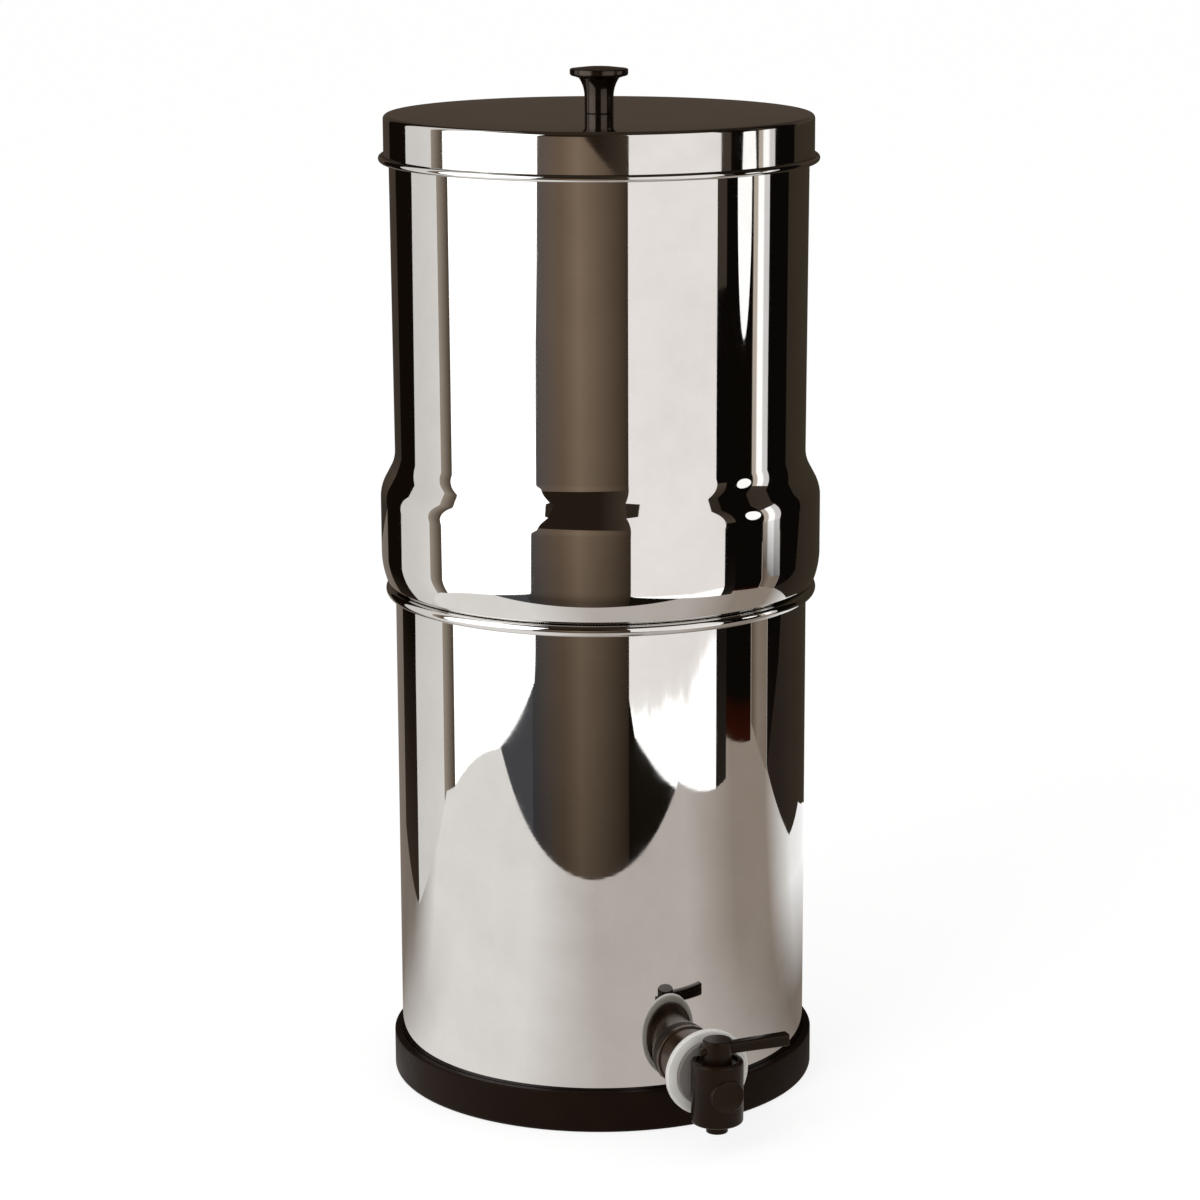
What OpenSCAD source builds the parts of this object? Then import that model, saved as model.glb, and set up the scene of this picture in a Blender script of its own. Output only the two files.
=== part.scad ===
// Gravity water filter with tap: two stacked sheet-steel chambers, two filter elements and a lever tap.
// The origin is on the chambers' axis, on the surface that the filter stands on. The tap points along -Y.
// +Z is up, and every length is in millimetres.

/* [Sheet steel] */
// Thickness of the sheet in both chambers and the lid
sheet_t = 0.8; // [0.6:0.1:1.2]
// Gap left between two pieces where one rests or is pressed on a curved face of the other
seat_gap = 0.1; // [0.05:0.05:0.3]

/* [Lower chamber] */
// Outer diameter of the lower chamber's wall
chamber_d = 190; // [160:1:230]
// Height of the lower chamber, from its underside to the top of its rolled rim
lower_h = 231.6; // [190:0.1:290]
// Radius of the pressed corner at the foot of either chamber, on its outer face
foot_corner_r = 5; // [3:0.5:8]
// Radius of the lower chamber's rolled rim, to the middle of the sheet
lower_roll_r = 2.2; // [1.6:0.1:3]

/* [Upper chamber] */
// How far the bulge stands out past the lower chamber's wall
bulge_out = 6.2; // [5:0.1:8]
// Height of the bulge's upright band
bulge_band_h = 25; // [15:0.5:40]
// Height of the S-shaped shoulder between the bulge and the neck
shoulder_h = 21.5; // [18:0.5:30]
// Slope of the shoulder's straight middle, as a share of the slope that its two arcs alone would reach
shoulder_slope = 0.8; // [0.6:0.05:0.95]
// How far the wall just above the shoulder lies inside the line of the lower chamber's wall
neck_inset = 0.6; // [0:0.1:4]
// How far the wall under the upper chamber's rim lies outside the line of the lower chamber's wall
mouth_outset = 0.2; // [-1:0.1:2]
// Height of the wall from the shoulder to the upper chamber's rim
upper_wall_h = 152.2; // [110:0.1:200]
// Radius of the bulge's lower side, on its outer face
bowl_r = 37; // [30:1:50]
// Radius of the bowl's lower corner, which rests on the lower chamber's rim
bowl_corner_r = 4; // [3:0.1:4.8]
// Depth of the floor below the corner that rests on the rim
nest_h = 13; // [10:0.5:20]
// Clearance between the stepped floor and the lower chamber's wall, on the radius
nest_gap = 0.8; // [0.5:0.1:1.5]
// Inner radius of the upper chamber's rolled edge
upper_roll_in_r = 0.1; // [0.05:0.05:0.5]

/* [Lid] */
// Clearance between the upper chamber's rolled edge and the lid's skirt, on the radius
lid_gap = 0.45; // [0.3:0.05:1]
// Height of the lid, from its flat top to the middle of its rolled edge
lid_h = 19.6; // [14:0.1:30]
// Radius of the lid's top corner, on its outer face
lid_corner_r = 2; // [1.4:0.1:4]
// Radius of the lid's rolled edge, to the middle of the sheet
lid_roll_r = 1.2; // [1:0.1:2]

/* [Knob] */
// Diameter of the knob's disc
knob_d = 26.4; // [22:0.1:34]
// Height of the knob above the lid
knob_h = 20.9; // [17:0.1:28]
// Diameter of the knob's stem
knob_stem_d = 13.2; // [11:0.1:16]
// Thickness of the disc at its edge
knob_disc_t = 3.2; // [2.5:0.1:5]
// Radius of the flare between the stem and the disc
knob_flare_r = 14.7; // [10:0.1:17]
// Shaft diameter of the knob's screw
knob_screw_d = 5; // [4:0.5:6]

/* [Base ring] */
// Height of the rubber base ring
base_h = 19; // [14:0.5:26]
// Thickness of the ring's wall
base_wall_t = 3.7; // [2.5:0.1:6]
// Thickness of the ledge that the lower chamber stands on
base_ledge_t = 3.3; // [2:0.1:5]
// How far the ledge reaches in under the chamber
base_ledge_w = 10; // [7:0.5:20]

/* [Tap] */
// Clear height between the base ring and the flange of the tap's spacer
tap_clear = 0.8; // [0.3:0.1:40]
// Diameter of the threaded shank
shank_d = 15.6; // [13:0.1:18]
// Clearance of the shank in the holes that it passes through, on the radius
shank_gap = 0.3; // [0.2:0.05:0.6]
// Bore of the shank
waterway_d = 9; // [6:0.5:10]
// Diameter of the spacer's barrel
spacer_d = 26.8; // [22:0.1:28]
// Diameter of the spacer's flange at the wall and of the gasket
spacer_flange_d = 28.4; // [24:0.1:36]
// Diameter of the spacer's flange behind the outer washer
spacer_end_flange_d = 33; // [28:0.1:34]
// Length of the spacer
spacer_l = 22.6; // [8:0.1:40]
// Thickness of the wall gasket, at the chamber's outermost line
gasket_t = 1.8; // [1:0.1:3]
// Diameter of the white outer washer
washer_d = 39.5; // [34:0.5:42]
// Thickness of the white outer washer
washer_t = 3; // [2:0.1:5]
// Diameter of the tap body's flange
body_flange_d = 30.4; // [27:0.1:33]
// Thickness of the tap body's flange
body_flange_t = 2.2; // [1.5:0.1:4]
// Diameter of the tap's upright body
body_d = 23.4; // [19:0.1:28]
// Height of the tap's upright body
body_h = 29; // [27:0.1:34]
// How far the top of the body stands above the shank's axis
body_top = 9.5; // [8:0.1:10]
// Diameter of the round boss on the body's front
boss_d = 15.4; // [12:0.1:18]
// Outer diameter of the spout
spout_d = 9.8; // [8:0.1:13]
// How far the spout reaches below the body
spout_h = 4.7; // [3:0.1:12]
// Bore of the spout
spout_bore_d = 6.4; // [4:0.1:7]

/* [Tap valve] */
// Thickness of the body's wall round the plug
body_wall_t = 3.7; // [2.8:0.1:4.5]
// Running clearance of the plug in its bore, on the radius
plug_gap = 0.08; // [0.02:0.01:0.1]
// Diameter of the port through the plug's side
port_d = 5.4; // [4:0.1:5.6]
// Section diameter of the plug's two O-rings
o_ring_d = 1.5; // [1.2:0.1:1.6]
// Diameter of the lever's cap
cap_d = 13; // [11:0.1:14]
// Height of the lever's cap
cap_h = 10.6; // [9:0.1:14]
// Reach of the lever, from the plug's axis to its tip
lever_l = 34.5; // [28:0.5:45]
// Width of the lever
lever_w = 5; // [4:0.1:6]
// Height of the lever at the cap
lever_root_h = 4.8; // [3:0.1:5]
// Height of the lever at its tip
lever_tip_h = 5.8; // [4:0.1:7]

/* [Filter elements] */
// Distance between the two elements' axes
filter_pitch = 84; // [70:1:92]
// Diameter of an element's end caps
filter_cap_d = 66; // [50:0.5:68]
// Clear height between an element's top and the lid
filter_head_h = 39.8; // [20:0.1:90]
// Diameter of an element's threaded stem
stem_d = 10; // [8:0.5:12]
// Length of the stem below the element's base cap
stem_l = 28; // [22:0.5:34]
// Bore of the stem
stem_bore_d = 4.4; // [3:0.1:6]
// Thickness of the rubber seal under each element
seal_t = 2.5; // [1.5:0.1:4]
// Span of a wing nut, over its wings
wing_span = 34; // [28:0.5:40]

/* [Hidden] */
$fn = 96;
wall_fn = 360;

steel_color = "#c9c5bf";
black_color = "#211d1b";
rubber_color = "#1a1513";
silicone_color = "#d9dbd7";
carbon_color = "#2c2f31";

// Lower chamber: its foot stands on the base ring's ledge, and its wall ends in a roll turned outwards
chamber_r = chamber_d / 2;
foot_z = base_ledge_t + seat_gap;
lower_roll_outer_r = lower_roll_r + sheet_t / 2;
lower_roll_x = chamber_r - sheet_t / 2 + lower_roll_r;
lower_roll_z = foot_z + lower_h - lower_roll_outer_r;
lower_roll_end = -80;

// Upper chamber: the bowl's lower corner rests on the roll, so its centre follows from the two radii
bulge_r = chamber_r + bulge_out;
neck_r = chamber_r - neck_inset;
mouth_r = chamber_r + mouth_outset;
bowl_corner_in = 1.6;
bowl_corner_x = lower_roll_x - bowl_corner_in;
seat_reach = bowl_corner_r + lower_roll_outer_r + seat_gap;
bowl_corner_z = lower_roll_z + sqrt(seat_reach * seat_reach - bowl_corner_in * bowl_corner_in);
underside_z = bowl_corner_z - bowl_corner_r;
bowl_turn = acos((bowl_corner_x - bulge_r + bowl_r) / (bowl_r - bowl_corner_r));
bulge_z0 = bowl_corner_z + (bowl_r - bowl_corner_r) * sin(bowl_turn);
bulge_z1 = bulge_z0 + bulge_band_h;
neck_z = bulge_z1 + shoulder_h;
neck_in = bulge_r - neck_r;
shoulder_turn = shoulder_slope * 2 * atan(neck_in / shoulder_h);
shoulder_flat = neck_in / tan(shoulder_turn / 2) - shoulder_h;
shoulder_r = (shoulder_h - shoulder_flat * cos(shoulder_turn)) / (2 * sin(shoulder_turn));
nest_r = chamber_r - sheet_t - nest_gap;
nest_fillet_r = 1.4;
floor_z = underside_z - nest_h;
upper_roll_r = upper_roll_in_r + sheet_t / 2;
upper_roll_outer_r = upper_roll_in_r + sheet_t;
upper_roll_x = mouth_r - sheet_t / 2 + upper_roll_r;
upper_roll_z = neck_z + upper_wall_h - upper_roll_outer_r;
upper_roll_end = -40;
rim_z = upper_roll_z + upper_roll_outer_r;

// Lid: its flat top rests on the upper chamber's rim, and its skirt clears the rim all round
lid_r = upper_roll_x + upper_roll_outer_r + lid_gap + sheet_t;
lid_under_z = rim_z + seat_gap;
lid_top_z = lid_under_z + sheet_t;
lid_roll_x = lid_r - sheet_t / 2 + lid_roll_r;
lid_roll_z = lid_top_z - lid_h;
lid_roll_end = 420;

// Knob and its screw
knob_r = knob_d / 2;
knob_stem_r = knob_stem_d / 2;
knob_foot_in = 0.2;
knob_foot_h = 1.2;
knob_dome_h = 1;
knob_edge_r = 1.2;
knob_rim_r = 0.6;
knob_under_z = lid_top_z + knob_h - knob_dome_h - knob_disc_t;
knob_flare_h = 9.2;
knob_flare_curve_h = 8.3;
knob_flare_turn = asin(knob_flare_curve_h / knob_flare_r);
screw_hole_gap = 0.25;
knob_washer_d = 15;
knob_washer_t = 1;
screw_head_d = 10;
screw_head_h = 2.4;
screw_reach = 12;
screw_slot_l = 6;
screw_slot_w = 1.2;
screw_slot_depth = 1.2;

// Base ring
base_r = chamber_r + seat_gap + base_wall_t;
base_inner_r = chamber_r - base_ledge_w;
base_foot_r = 2.2;
base_top_r = 1;

// Tap: each piece on the shank starts where the one before it ends, counted outwards from the axis
tap_z = base_h + tap_clear + spacer_flange_d / 2;
shank_r = shank_d / 2;
shank_hole_r = shank_r + shank_gap;
gasket_out = chamber_r + gasket_t;
spacer_out = gasket_out + spacer_l;
washer_out = spacer_out + washer_t;
flange_out = washer_out + body_flange_t;
body_r = body_d / 2;
body_sink = 1.9;
body_floor_t = 5.6;
body_at = washer_out + body_r - body_sink;
body_z1 = tap_z + body_top;
body_z0 = body_z1 - body_h;
body_foot_r = 1.4;
spout_z = body_z0 - spout_h;
boss_drop = 4.4;
boss_out = 0.7;
boss_dish = 0.3;
boss_rim_w = 1.2;
spacer_flange_t = 2.5;
washer_edge_r = 0.7;
inner_washer_d = 26;
inner_washer_t = 3;
inner_washer_in = chamber_r - sheet_t - seat_gap - inner_washer_t;
nut_across_flats = 24;
nut_l = 7;
nut_flange_t = 1.5;
nut_flange_d = 26;
nut_in = inner_washer_in - nut_flange_t - nut_l;
shank_past_nut = 4;
shank_in = nut_in - shank_past_nut;

// Valve: the plug fills the bore from its floor to the retainer, and its neck carries the lever's cap
plug_bore_r = body_r - body_wall_t;
plug_r = plug_bore_r - plug_gap;
plug_end_gap = 0.1;
plug_floor_z = body_z0 + body_floor_t;
retainer_t = 1.6;
retainer_recess = 1.4;
retainer_gap = 0.05;
retainer_ledge = 1.2;
retainer_r = plug_bore_r + retainer_ledge;
retainer_top_z = body_z1 - retainer_recess;
plug_z0 = plug_floor_z + plug_end_gap;
plug_z1 = retainer_top_z - retainer_t - plug_end_gap;
plug_foot_h = 2.8;
plug_top_land_h = 0.5;
plug_neck_r = 4.6;
plug_neck_gap = 0.3;
groove_side_gap = 0.05;
groove_h = o_ring_d + 2 * groove_side_gap;
groove_r = plug_r - o_ring_d - groove_side_gap;
o_ring_zs = [plug_z0 + plug_foot_h, plug_z1 - plug_top_land_h - groove_h / 2];
cap_gap = 0.3;
cap_z0 = retainer_top_z + cap_gap;
cap_z1 = cap_z0 + cap_h;
stub_w = 6;
stub_h = 6;
stub_gap = 0.05;
cap_edge_r = 0.6;
lever_rise = 6;
lever_mid_z = cap_z0 + lever_rise;
lever_tip_r = 1;
ear_reach = 8.6;
ear_w = 3.6;
ear_h = 3.2;

// Filter elements
filter_x = filter_pitch / 2;
filter_cap_r = filter_cap_d / 2;
cap_wall_t = 1.6;
cap_floor_t = 3;
cap_lip_h = 7;
cap_top_edge_r = 1.5;
block_gap = 0.1;
block_r = filter_cap_r - cap_wall_t - block_gap;
block_bore_r = 9;
stem_r = stem_d / 2;
stem_gap = 0.3;
floor_top_z = floor_z + sheet_t;
seal_r = 11;
seal_edge_r = 0.4;
filter_z0 = floor_top_z + seal_t;
block_z0 = filter_z0 + cap_floor_t;
block_z1 = lid_under_z - filter_head_h - cap_floor_t;
nut_hub_r = 8;
nut_hub_h = 8;
wing_t = 3;
wing_h = 12;
wing_edge_r = 4;
nut_thread_gap = 0.1;

// Points along an arc about c, with a step of at most 15 degrees or 3 mm
function arc(c, r, a0, a1) =
    let (n = ceil(max(abs(a1 - a0) / 15, abs(a1 - a0) * r * PI / 540)))
    [for (i = [0:n]) let (a = a0 + (a1 - a0) * i / n) c + r * [cos(a), sin(a)]];

function reversed(points) = [for (i = [len(points) - 1:-1:0]) points[i]];

// One face of a bent sheet. Each bend is [centre x, centre z, middle radius, first angle, last angle]
function sheet_face(bends, t, side) =
    [for (b = bends) each arc([b[0], b[1]], b[2] + (b[4] > b[3] ? -side : side) * t / 2, b[3], b[4])];

// Section of a spun sheet that starts on the axis at height z and follows the bends
function spun_section(z, t, bends) = concat(
    [[0, z + t / 2]], sheet_face(bends, t, 1), reversed(sheet_face(bends, t, -1)), [[0, z - t / 2]]);

// Section of a flat ring with rounded edges
function rounded_ring(r0, r1, h, e) = concat(
    arc([r1 - e, e], e, -90, 0), arc([r1 - e, h - e], e, 0, 90),
    arc([r0 + e, h - e], e, 90, 180), arc([r0 + e, e], e, 180, 270));

module spin(points) {
    rotate_extrude() polygon(points);
}

// Places its children on the shank's axis, with their +Z pointing out of the chamber from distance d
module on_shank(d = 0) {
    translate([0, -d, tap_z]) rotate([90, 0, 0]) children();
}

module tube(r0, r1, h) {
    difference() {
        cylinder(r = r1, h = h);
        translate([0, 0, -1]) cylinder(r = r0, h = h + 2);
    }
}

module base_ring() {
    color(rubber_color) spin(concat(
        [[base_inner_r, 0]],
        arc([base_r - base_foot_r, base_foot_r], base_foot_r, -90, 0),
        arc([base_r - base_top_r, base_h - base_top_r], base_top_r, 0, 90),
        [[chamber_r + seat_gap, base_h]],
        arc([chamber_r - foot_corner_r, foot_z + foot_corner_r], foot_corner_r + seat_gap, 0, -90),
        [[base_inner_r, base_ledge_t]]));
}

module lower_chamber() {
    color(steel_color) difference() {
        spin(spun_section(foot_z + sheet_t / 2, sheet_t, [
            [chamber_r - foot_corner_r, foot_z + foot_corner_r, foot_corner_r - sheet_t / 2, -90, 0],
            [lower_roll_x, lower_roll_z, lower_roll_r, 180, lower_roll_end]
        ]));
        on_shank(chamber_r - 10) cylinder(r = shank_hole_r, h = 20);
    }
}

// Rubber gasket, pressed to the curve of the wall by the spacer
module wall_gasket() {
    color(rubber_color) difference() {
        on_shank(chamber_r - 5) tube(shank_hole_r, spacer_flange_d / 2, 5 + gasket_t);
        cylinder(r = chamber_r + seat_gap, h = 2 * tap_z, $fn = wall_fn);
    }
}

module tap_spacer() {
    color(black_color) on_shank(gasket_out) {
        spin([
            [shank_hole_r, 0], [spacer_flange_d / 2, 0],
            [spacer_flange_d / 2, spacer_flange_t], [spacer_d / 2, spacer_flange_t],
            [spacer_d / 2, spacer_l - spacer_flange_t], [spacer_end_flange_d / 2, spacer_l - spacer_flange_t],
            [spacer_end_flange_d / 2, spacer_l], [shank_hole_r, spacer_l]
        ]);
    }
}

module outer_washer() {
    color(silicone_color) on_shank(spacer_out) spin(rounded_ring(shank_hole_r, washer_d / 2, washer_t, washer_edge_r));
}

module tap_body() {
    color(black_color) difference() {
        union() {
            on_shank(shank_in) cylinder(r = shank_r, h = body_at - shank_in);
            on_shank(washer_out) cylinder(d = body_flange_d, h = body_flange_t);
            difference() {
                translate([0, -body_at, 0]) spin(concat(
                    [[0, spout_z], [spout_d / 2, spout_z], [spout_d / 2, body_z0]],
                    arc([body_r - body_foot_r, body_z0 + body_foot_r], body_foot_r, -90, 0),
                    arc([body_r - cap_edge_r, body_z1 - cap_edge_r], cap_edge_r, 0, 90),
                    [[0, body_z1]]));
                on_shank(washer_out - body_d) cylinder(r = body_h, h = body_d);
            }
            translate([0, 0, -boss_drop]) on_shank(body_at) cylinder(d = boss_d, h = body_r + boss_out);
        }
        translate([0, 0, -boss_drop]) on_shank(body_at + body_r + boss_out - boss_dish)
            cylinder(d = boss_d - 2 * boss_rim_w, h = 1);
        on_shank(shank_in - 1) cylinder(d = waterway_d, h = body_at - shank_in + 1);
        translate([0, -body_at, 0]) {
            translate([0, 0, spout_z - 1]) cylinder(d = spout_bore_d, h = body_h);
            translate([0, 0, plug_floor_z]) cylinder(r = plug_bore_r, h = body_h);
            translate([0, 0, retainer_top_z - retainer_t]) cylinder(r = retainer_r + retainer_gap, h = body_h);
        }
    }
}

// Ring pressed into the body's recess, which keeps the plug down
module plug_retainer() {
    color(black_color) translate([0, -body_at, retainer_top_z - retainer_t])
        tube(plug_neck_r + plug_neck_gap, retainer_r, retainer_t);
}

// Silicone washer inside the chamber, with its outer face following the curve of the wall
module inner_washer() {
    color(silicone_color) intersection() {
        on_shank(inner_washer_in) tube(shank_hole_r, inner_washer_d / 2, inner_washer_t + 1);
        cylinder(r = chamber_r - sheet_t - seat_gap, h = 2 * tap_z, $fn = wall_fn);
    }
}

module lock_nut() {
    color(black_color) on_shank(nut_in) difference() {
        union() {
            cylinder(d = nut_across_flats / cos(30), h = nut_l, $fn = 6);
            translate([0, 0, nut_l]) cylinder(d = nut_flange_d, h = nut_flange_t);
        }
        translate([0, 0, -1]) cylinder(r = shank_r + seat_gap, h = nut_l + nut_flange_t + 2);
    }
}

// Valve plug, closed: its side port faces -X, and a quarter turn brings it to the shank's waterway
module tap_plug() {
    color(black_color) translate([0, -body_at, 0]) difference() {
        union() {
            translate([0, 0, plug_z0]) cylinder(r = plug_r, h = plug_z1 - plug_z0);
            translate([0, 0, plug_z1]) cylinder(r = plug_neck_r, h = cap_z0 - plug_z1);
            translate([-stub_w / 2, -stub_w / 2, cap_z0]) cube([stub_w, stub_w, stub_h]);
        }
        for (z = o_ring_zs) {
            translate([0, 0, z - groove_h / 2]) tube(groove_r, plug_r + 1, groove_h);
        }
        translate([0, 0, plug_z0 - 1]) cylinder(d = spout_bore_d, h = tap_z + 1 - plug_z0);
        translate([0, 0, tap_z]) rotate([0, -90, 0]) cylinder(d = port_d, h = plug_r + 1);
    }
}

module plug_o_rings() {
    color(rubber_color) translate([0, -body_at, 0]) {
        for (z = o_ring_zs) {
            translate([0, 0, z]) rotate_extrude()
                translate([groove_r + groove_side_gap + o_ring_d / 2, 0]) circle(d = o_ring_d);
        }
    }
}

// Round cap with the lever on one side and a short ear on the other; at rest the lever lies across the shank
module tap_lever() {
    color(black_color) translate([0, -body_at, 0]) difference() {
        union() {
            spin(concat(
                [[0, cap_z0], [cap_d / 2, cap_z0]],
                arc([cap_d / 2 - cap_edge_r, cap_z1 - cap_edge_r], cap_edge_r, 0, 90),
                [[0, cap_z1]]));
            rotate([90, 0, 0]) translate([0, lever_mid_z, -lever_w / 2]) linear_extrude(lever_w)
                polygon(concat(
                    [[0, -lever_root_h / 2], [cap_d / 2, -lever_root_h / 2]],
                    arc([lever_l - lever_tip_r, lever_tip_r - lever_tip_h / 2], lever_tip_r, -90, 0),
                    arc([lever_l - lever_tip_r, lever_tip_h / 2 - lever_tip_r], lever_tip_r, 0, 90),
                    [[cap_d / 2, lever_root_h / 2], [0, lever_root_h / 2]]));
            translate([-ear_reach, -ear_w / 2, lever_mid_z - lever_root_h / 2])
                cube([ear_reach, ear_w, ear_h]);
        }
        translate([-stub_w / 2 - stub_gap, -stub_w / 2 - stub_gap, cap_z0 - 1])
            cube([stub_w + 2 * stub_gap, stub_w + 2 * stub_gap, stub_h + 1 + stub_gap]);
    }
}

module upper_chamber() {
    color(steel_color) difference() {
        spin(spun_section(floor_z + sheet_t / 2, sheet_t, [
            [nest_r - foot_corner_r, floor_z + foot_corner_r, foot_corner_r - sheet_t / 2, -90, 0],
            [nest_r + nest_fillet_r, underside_z - nest_fillet_r, nest_fillet_r + sheet_t / 2, 180, 90],
            [bowl_corner_x, bowl_corner_z, bowl_corner_r - sheet_t / 2, -90, -bowl_turn],
            [bulge_r - bowl_r, bulge_z0, bowl_r - sheet_t / 2, -bowl_turn, 0],
            [bulge_r - shoulder_r, bulge_z1, shoulder_r - sheet_t / 2, 0, shoulder_turn],
            [neck_r + shoulder_r, neck_z, shoulder_r + sheet_t / 2, 180 + shoulder_turn, 180],
            [upper_roll_x, upper_roll_z, upper_roll_r, 180, upper_roll_end]
        ]));
        for (side = [-1, 1]) {
            translate([side * filter_x, 0, floor_z - 1]) cylinder(r = stem_r + stem_gap, h = sheet_t + 2);
        }
    }
}

module filter_seals() {
    color(rubber_color) for (side = [-1, 1]) {
        translate([side * filter_x, 0, floor_top_z])
            spin(rounded_ring(stem_r + stem_gap, seal_r, seal_t, seal_edge_r));
    }
}

// Base cap of an element: a shallow cup for the carbon block, with the threaded stem below it
module filter_base(side) {
    color(black_color) translate([side * filter_x, 0, filter_z0]) difference() {
        union() {
            cylinder(r = filter_cap_r, h = cap_floor_t + cap_lip_h);
            translate([0, 0, -stem_l]) cylinder(r = stem_r, h = stem_l);
        }
        translate([0, 0, cap_floor_t]) cylinder(r = filter_cap_r - cap_wall_t, h = cap_lip_h + 1);
        translate([0, 0, -stem_l - 1]) cylinder(d = stem_bore_d, h = stem_l + cap_floor_t + 2);
    }
}

module filter_base_left() {
    filter_base(-1);
}

module filter_base_right() {
    filter_base(1);
}

// Carbon block: a thick tube that the water soaks through to the bore in its middle
module filter_block(side) {
    color(carbon_color) translate([side * filter_x, 0, block_z0]) tube(block_bore_r, block_r, block_z1 - block_z0);
}

module filter_block_left() {
    filter_block(-1);
}

module filter_block_right() {
    filter_block(1);
}

module filter_cap(side) {
    color(black_color) translate([side * filter_x, 0, block_z1 - cap_lip_h]) difference() {
        spin(concat(
            [[0, 0], [filter_cap_r, 0]],
            arc([filter_cap_r - cap_top_edge_r, cap_lip_h + cap_floor_t - cap_top_edge_r],
                cap_top_edge_r, 0, 90),
            [[0, cap_lip_h + cap_floor_t]]));
        translate([0, 0, -1]) cylinder(r = filter_cap_r - cap_wall_t, h = cap_lip_h + 1);
    }
}

module filter_cap_left() {
    filter_cap(-1);
}

module filter_cap_right() {
    filter_cap(1);
}

// Wing nuts under the floor, which pull the elements down on their seals
module wing_nuts() {
    color(black_color) for (side = [-1, 1]) {
        translate([side * filter_x, 0, floor_z]) difference() {
            union() {
                translate([0, 0, -nut_hub_h]) cylinder(r = nut_hub_r, h = nut_hub_h);
                rotate([90, 0, 0]) translate([0, 0, -wing_t / 2]) linear_extrude(wing_t)
                    polygon(concat(
                        [[nut_hub_r / 2, -2]],
                        arc([wing_span / 2 - wing_edge_r, wing_edge_r - wing_h], wing_edge_r, 60, -110),
                        [[nut_hub_r / 2, 1 - nut_hub_h], [-nut_hub_r / 2, 1 - nut_hub_h]],
                        arc([wing_edge_r - wing_span / 2, wing_edge_r - wing_h], wing_edge_r, 290, 120),
                        [[-nut_hub_r / 2, -2]]));
            }
            translate([0, 0, -wing_h - 1]) cylinder(r = stem_r + nut_thread_gap, h = wing_h + 2);
        }
    }
}

module lid() {
    color(steel_color) difference() {
        spin(spun_section(lid_top_z - sheet_t / 2, sheet_t, [
            [lid_r - lid_corner_r, lid_top_z - lid_corner_r, lid_corner_r - sheet_t / 2, 90, 0],
            [lid_roll_x, lid_roll_z, lid_roll_r, 180, lid_roll_end]
        ]));
        translate([0, 0, lid_under_z - 1]) cylinder(r = knob_screw_d / 2 + screw_hole_gap, h = sheet_t + 2);
    }
}

// Knob: a stem that flares into a disc with a rounded edge and a low dome
module lid_knob() {
    dome_r = (pow(knob_r - knob_rim_r, 2) + pow(knob_dome_h, 2)) / (2 * knob_dome_h);
    dome_turn = asin((knob_r - knob_rim_r) / dome_r);
    color(black_color) difference() {
        spin(concat(
            [[0, lid_top_z], [knob_stem_r - knob_foot_in, lid_top_z], [knob_stem_r, lid_top_z + knob_foot_h]],
            arc([knob_stem_r + knob_flare_r, knob_under_z - knob_flare_h], knob_flare_r,
                180, 180 - knob_flare_turn),
            arc([knob_r - knob_edge_r, knob_under_z + knob_edge_r], knob_edge_r, -90, 0),
            arc([knob_r - knob_rim_r, knob_under_z + knob_disc_t - knob_rim_r], knob_rim_r, 0, 90),
            arc([0, lid_top_z + knob_h - dome_r], dome_r, 90 - dome_turn, 90)));
        translate([0, 0, lid_top_z - 1]) cylinder(d = knob_screw_d + seat_gap, h = screw_reach + 1);
    }
}

module knob_washer() {
    color(steel_color) translate([0, 0, lid_under_z - knob_washer_t])
        tube(knob_screw_d / 2 + screw_hole_gap, knob_washer_d / 2, knob_washer_t);
}

// Pan-head screw that holds the knob from inside the lid
module knob_screw() {
    head_z = lid_under_z - knob_washer_t - screw_head_h;
    color(steel_color) difference() {
        union() {
            translate([0, 0, head_z]) cylinder(d = screw_head_d, h = screw_head_h);
            translate([0, 0, head_z]) cylinder(d = knob_screw_d, h = screw_head_h + screw_reach);
        }
        for (a = [0, 90]) {
            rotate(a) translate([-screw_slot_l / 2, -screw_slot_w / 2, head_z - 1])
                cube([screw_slot_l, screw_slot_w, screw_slot_depth + 1]);
        }
    }
}

base_ring();
lower_chamber();
wall_gasket();
tap_spacer();
outer_washer();
tap_body();
plug_retainer();
inner_washer();
lock_nut();
tap_plug();
plug_o_rings();
tap_lever();
upper_chamber();
filter_seals();
filter_base_left();
filter_base_right();
filter_block_left();
filter_block_right();
filter_cap_left();
filter_cap_right();
wing_nuts();
lid();
lid_knob();
knob_washer();
knob_screw();
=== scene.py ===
import math

import bmesh
import bpy
from mathutils import Matrix, Vector


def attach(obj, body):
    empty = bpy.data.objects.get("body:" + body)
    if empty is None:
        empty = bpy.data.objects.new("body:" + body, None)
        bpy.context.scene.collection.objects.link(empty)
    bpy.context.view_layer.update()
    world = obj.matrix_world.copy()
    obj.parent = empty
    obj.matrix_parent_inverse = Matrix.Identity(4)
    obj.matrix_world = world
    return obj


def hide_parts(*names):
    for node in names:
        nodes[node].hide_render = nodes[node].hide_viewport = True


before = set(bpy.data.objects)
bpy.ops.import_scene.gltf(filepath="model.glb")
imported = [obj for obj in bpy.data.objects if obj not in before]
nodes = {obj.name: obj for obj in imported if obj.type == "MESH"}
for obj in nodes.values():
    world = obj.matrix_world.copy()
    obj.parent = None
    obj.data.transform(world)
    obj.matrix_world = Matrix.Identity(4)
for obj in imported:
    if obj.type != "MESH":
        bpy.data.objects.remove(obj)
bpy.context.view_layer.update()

MM = 0.001

# Driving sizes of the filter in millimetres, as the CAD part has them. R is a radius, T a thickness, H a height,
# L a length and W a width.
SHEET = 0.8                 # sheet of both chambers and the lid
SEAT_GAP = 0.1              # gap where one piece rests on another's curved face

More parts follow.
